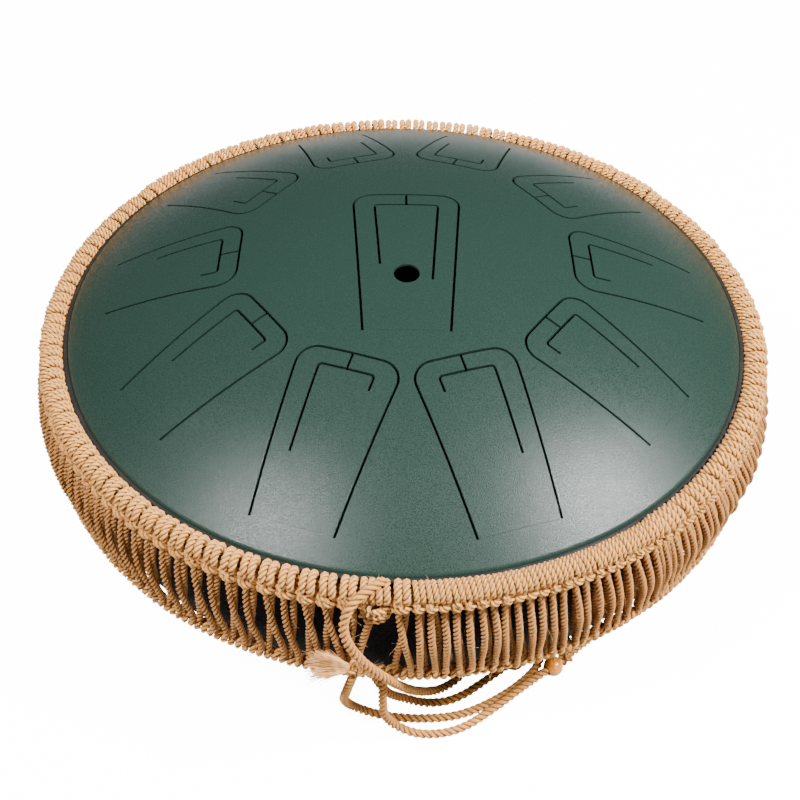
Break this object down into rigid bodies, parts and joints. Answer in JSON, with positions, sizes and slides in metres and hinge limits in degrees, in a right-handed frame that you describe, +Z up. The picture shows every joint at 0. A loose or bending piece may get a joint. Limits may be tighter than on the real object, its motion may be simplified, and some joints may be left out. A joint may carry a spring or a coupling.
{
  "type": "steel tongue drum",
  "caption": "Domed steel tongue drum, green on top and black below, with slotted sprung tongues, a knotted jute net round the rim, beaded tie cords and rubber feet.",
  "frame": {"origin": "centre of the drum on the surface it stands on", "axes": "+Z up, the player and the tie cords at -Y, +X to the player's right"},
  "size_m": [0.3738, 0.3821, 0.152],
  "materials": {
    "green_paint": "satin, fine textured powder coat",
    "black_paint": "satin",
    "trim_rubber": "soft sheen",
    "foot_rubber": "matte",
    "jute": "three-ply twisted jute cord, hairy",
    "bead_wood": "varnished",
    "screw_steel": "zinc plated"
  },
  "bodies": {
    "drum": {"top_shell": "green_paint", "bottom_shell": "black_paint", "rim_trim": "trim_rubber", "seam_weld": "black_paint", "foot_back": "foot_rubber", "foot_left": "foot_rubber", "foot_right": "foot_rubber", "foot_screws": "screw_steel", "foot_nuts": "screw_steel", "upper_hoop": "jute", "lower_hoop": "jute", "net_hitches": "jute", "net_edge_knots": "jute", "net_strands": "jute", "start_knot": "jute", "tie_loop": "jute", "tail_short": "jute", "tail_long": "jute", "bead_short": "bead_wood", "bead_long": "bead_wood", "stopper_short": "jute", "stopper_long": "jute", "tassel_knot": "jute", "tassel": "jute"},
    "tongue_front_left": {"tongue_front_left": "green_paint"},
    "tongue_front_right": {"tongue_front_right": "green_paint"},
    "tongue_near_left": {"tongue_near_left": "green_paint"},
    "tongue_near_right": {"tongue_near_right": "green_paint"},
    "tongue_mid_left": {"tongue_mid_left": "green_paint"},
    "tongue_mid_right": {"tongue_mid_right": "green_paint"},
    "tongue_far_left": {"tongue_far_left": "green_paint"},
    "tongue_far_right": {"tongue_far_right": "green_paint"},
    "tongue_back_left": {"tongue_back_left": "green_paint"},
    "tongue_back_right": {"tongue_back_right": "green_paint"},
    "tongue_centre": {"tongue_centre": "green_paint"}
  },
  "joints": [
    {"name": "note_front_left", "type": "hinge", "parent": "drum", "child": "tongue_front_left", "pos_m": [-0.04923, -0.1515, 0.11063], "axis": [0.9511, -0.309, 0], "range_deg": [-0.5, 0.5], "stiffness_Nm_per_rad": 8},
    {"name": "note_front_right", "type": "hinge", "parent": "drum", "child": "tongue_front_right", "pos_m": [0.04923, -0.1515, 0.11063], "axis": [0.9511, 0.309, 0], "range_deg": [-0.5, 0.5], "stiffness_Nm_per_rad": 8},
    {"name": "note_near_left", "type": "hinge", "parent": "drum", "child": "tongue_near_left", "pos_m": [-0.12297, -0.08934, 0.11451], "axis": [0.5878, -0.809, 0], "range_deg": [-0.5, 0.5], "stiffness_Nm_per_rad": 8},
    {"name": "note_near_right", "type": "hinge", "parent": "drum", "child": "tongue_near_right", "pos_m": [0.12297, -0.08934, 0.11451], "axis": [0.5878, 0.809, 0], "range_deg": [-0.5, 0.5], "stiffness_Nm_per_rad": 8},
    {"name": "note_mid_left", "type": "hinge", "parent": "drum", "child": "tongue_mid_left", "pos_m": [-0.151, 0, 0.11502], "axis": [0, -1, 0], "range_deg": [-0.5, 0.5], "stiffness_Nm_per_rad": 8},
    {"name": "note_mid_right", "type": "hinge", "parent": "drum", "child": "tongue_mid_right", "pos_m": [0.151, 0, 0.11502], "axis": [0, 1, 0], "range_deg": [-0.5, 0.5], "stiffness_Nm_per_rad": 8},
    {"name": "note_far_left", "type": "hinge", "parent": "drum", "child": "tongue_far_left", "pos_m": [-0.12054, 0.08758, 0.11604], "axis": [-0.5878, -0.809, 0], "range_deg": [-0.5, 0.5], "stiffness_Nm_per_rad": 8},
    {"name": "note_far_right", "type": "hinge", "parent": "drum", "child": "tongue_far_right", "pos_m": [0.12054, 0.08758, 0.11604], "axis": [-0.5878, 0.809, 0], "range_deg": [-0.5, 0.5], "stiffness_Nm_per_rad": 8},
    {"name": "note_back_left", "type": "hinge", "parent": "drum", "child": "tongue_back_left", "pos_m": [-0.04388, 0.13505, 0.11945], "axis": [-0.9511, -0.309, 0], "range_deg": [-0.5, 0.5], "stiffness_Nm_per_rad": 8},
    {"name": "note_back_right", "type": "hinge", "parent": "drum", "child": "tongue_back_right", "pos_m": [0.04388, 0.13505, 0.11945], "axis": [-0.9511, 0.309, 0], "range_deg": [-0.5, 0.5], "stiffness_Nm_per_rad": 8},
    {"name": "note_centre", "type": "hinge", "parent": "drum", "child": "tongue_centre", "pos_m": [0, -0.0632, 0.14532], "axis": [1, 0, 0], "range_deg": [-0.5, 0.5], "stiffness_Nm_per_rad": 12}
  ]
}
